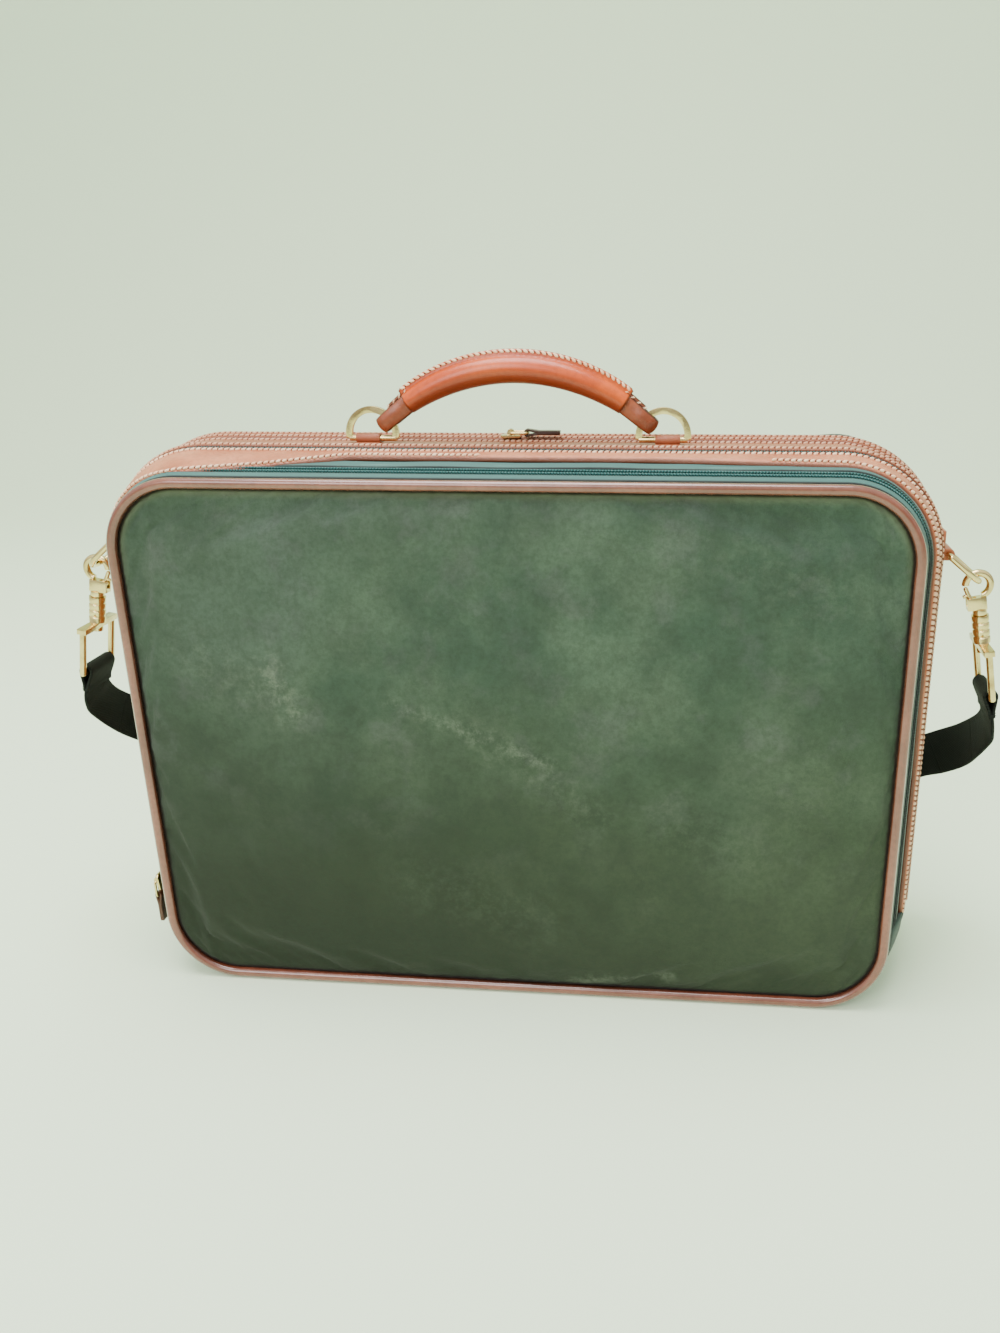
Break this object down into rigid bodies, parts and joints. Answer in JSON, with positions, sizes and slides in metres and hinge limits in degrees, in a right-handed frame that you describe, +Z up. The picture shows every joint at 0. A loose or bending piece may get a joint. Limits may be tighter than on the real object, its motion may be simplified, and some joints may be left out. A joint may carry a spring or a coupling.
{
  "type": "laptop bag",
  "caption": "Soft laptop briefcase with zipped compartments, leather piping and bands, a rolled handle on rings, and a hooked webbing shoulder strap.",
  "frame": {"origin": "on the rest plane, under the middle of the bag's width and of the depth between the two panels", "axes": "+X to the right as seen from the front panel, +Y from the front panel to the back panel, +Z up"},
  "size_m": [0.5056, 0.1165, 0.3448],
  "materials": {
    "tan_leather": "smooth, slightly glossy",
    "piping_leather": "smooth, slightly glossy",
    "brown_leather": "smooth, waxed",
    "green_suede": "matt nap, mottled",
    "green_fabric": "matt weave",
    "zip_tape": "matt weave",
    "lining": "padded nylon",
    "board": "matt",
    "webbing": "ribbed weave",
    "brass": "pale, polished"
  },
  "bodies": {
    "root": {"bottom_tray": "green_fabric", "base_board": "board", "middle_band": "tan_leather", "divider": "lining", "laptop_sleeve": "lining", "sleeve_strap": "webbing", "front_zip_rear_tape": "zip_tape", "rear_zip_front_tape": "zip_tape", "handle_chapes": "tan_leather", "side_chape_left": "tan_leather", "side_chape_right": "tan_leather", "shoulder_strap": "webbing"},
    "front_section": {"front_strip": "tan_leather", "front_gusset": "green_fabric", "partition": "lining", "organizer_pocket": "lining", "front_zip_front_tape": "zip_tape", "pocket_zip_rear_tape": "zip_tape"},
    "pocket_flap": {"front_panel": "green_suede", "front_piping": "piping_leather", "pocket_gusset": "green_fabric", "pocket_zip_front_tape": "zip_tape"},
    "rear_section": {"rear_strip": "tan_leather", "rear_gusset": "green_fabric", "back_panel": "green_suede", "back_piping": "piping_leather", "rear_zip_rear_tape": "zip_tape"},
    "handle_rings": {"handle_rings": "brass"},
    "handle": {"handle_grip": "tan_leather", "handle_core": "webbing", "handle_loops": "brown_leather"},
    "side_ring_left": {"side_ring_left": "brass"},
    "side_ring_right": {"side_ring_right": "brass"},
    "hook_left": {"hook_left": "brass"},
    "hook_right": {"hook_right": "brass"},
    "gate_left": {"gate_left": "brass"},
    "gate_right": {"gate_right": "brass"},
    "eye_left": {"eye_left": "brass", "strap_end_left": "webbing"},
    "eye_right": {"eye_right": "brass", "strap_end_right": "webbing"},
    "pocket_slider": {"pocket_slider": "brass"},
    "pocket_pull": {"pocket_bail": "brass", "pocket_pull_tab": "brown_leather"},
    "front_slider": {"front_slider": "brass"},
    "front_pull": {"front_bail": "brass", "front_pull_tab": "brown_leather"},
    "rear_slider": {"rear_slider": "brass"},
    "rear_pull": {"rear_bail": "brass", "rear_pull_tab": "brown_leather"}
  },
  "joints": [
    {"name": "front_fold", "type": "hinge", "parent": "root", "child": "front_section", "pos_m": [0, -0.0493, 0.0032], "axis": [1, 0, 0], "range_deg": [0, 25]},
    {"name": "flap_fold", "type": "hinge", "parent": "front_section", "child": "pocket_flap", "pos_m": [0, -0.0493, 0.0032], "axis": [1, 0, 0], "range_deg": [0, 20]},
    {"name": "rear_fold", "type": "hinge", "parent": "root", "child": "rear_section", "pos_m": [0, 0.0493, 0.0032], "axis": [-1, 0, 0], "range_deg": [0, 25], "deforming": ["shoulder_strap"]},
    {"name": "handle_fold", "type": "hinge", "parent": "root", "child": "handle_rings", "pos_m": [0, 0, 0.30018], "axis": [1, 0, 0], "range_deg": [-70, 70]},
    {"name": "handle_lift", "type": "slide", "parent": "handle_rings", "child": "handle", "axis": [0, 0, 1], "range_m": [0, 0.001]},
    {"name": "side_ring_swing_left", "type": "hinge", "parent": "root", "child": "side_ring_left", "pos_m": [-0.21983, 0, 0.245], "axis": [0, 1, 0], "range_deg": [-8, 70]},
    {"name": "hook_swing_left", "type": "hinge", "parent": "side_ring_left", "child": "hook_left", "pos_m": [-0.23714, 0, 0.23047], "axis": [0, 1, 0], "range_deg": [-6, 60]},
    {"name": "gate_left", "type": "hinge", "parent": "hook_left", "child": "gate_left", "pos_m": [-0.23505, 0, 0.2193], "axis": [0, -1, 0], "range_deg": [0, 25], "stiffness_Nm_per_rad": 0.02, "springref_deg": -5.73},
    {"name": "eye_swivel_left", "type": "hinge", "parent": "hook_left", "child": "eye_left", "pos_m": [-0.2376, 0, 0.22787], "axis": [0.1736, 0, 0.9848], "range_deg": [-30, 30]},
    {"name": "side_ring_swing_right", "type": "hinge", "parent": "root", "child": "side_ring_right", "pos_m": [0.21983, 0, 0.245], "axis": [0, -1, 0], "range_deg": [-8, 70]},
    {"name": "hook_swing_right", "type": "hinge", "parent": "side_ring_right", "child": "hook_right", "pos_m": [0.23714, 0, 0.23047], "axis": [0, -1, 0], "range_deg": [-6, 60]},
    {"name": "gate_right", "type": "hinge", "parent": "hook_right", "child": "gate_right", "pos_m": [0.23505, 0, 0.2193], "axis": [0, 1, 0], "range_deg": [0, 25], "stiffness_Nm_per_rad": 0.02, "springref_deg": -5.73},
    {"name": "eye_swivel_right", "type": "hinge", "parent": "hook_right", "child": "eye_right", "pos_m": [0.2376, 0, 0.22787], "axis": [-0.1736, 0, 0.9848], "range_deg": [-30, 30]},
    {"name": "pocket_slide", "type": "slide", "parent": "front_section", "child": "pocket_slider", "axis": [0, 0, 1], "range_m": [0, 0.18]},
    {"name": "pocket_pull", "type": "hinge", "parent": "pocket_slider", "child": "pocket_pull", "pos_m": [-0.21036, -0.0375, 0.054], "axis": [0, 1, 0], "range_deg": [0, 165]},
    {"name": "front_slide", "type": "slide", "parent": "root", "child": "front_slider", "axis": [0, 0, 1], "range_m": [0, 0.165]},
    {"name": "front_pull", "type": "hinge", "parent": "front_slider", "child": "front_pull", "pos_m": [-0.21922, -0.01225, 0.054], "axis": [0, 1, 0], "range_deg": [0, 165]},
    {"name": "rear_slide", "type": "slide", "parent": "root", "child": "rear_slider", "axis": [1, 0, 0], "range_m": [-0.145, 0.15]},
    {"name": "rear_pull", "type": "hinge", "parent": "rear_slider", "child": "rear_pull", "pos_m": [-0.005, 0.01225, 0.30189], "axis": [0, -1, 0], "range_deg": [0, 165]}
  ]
}
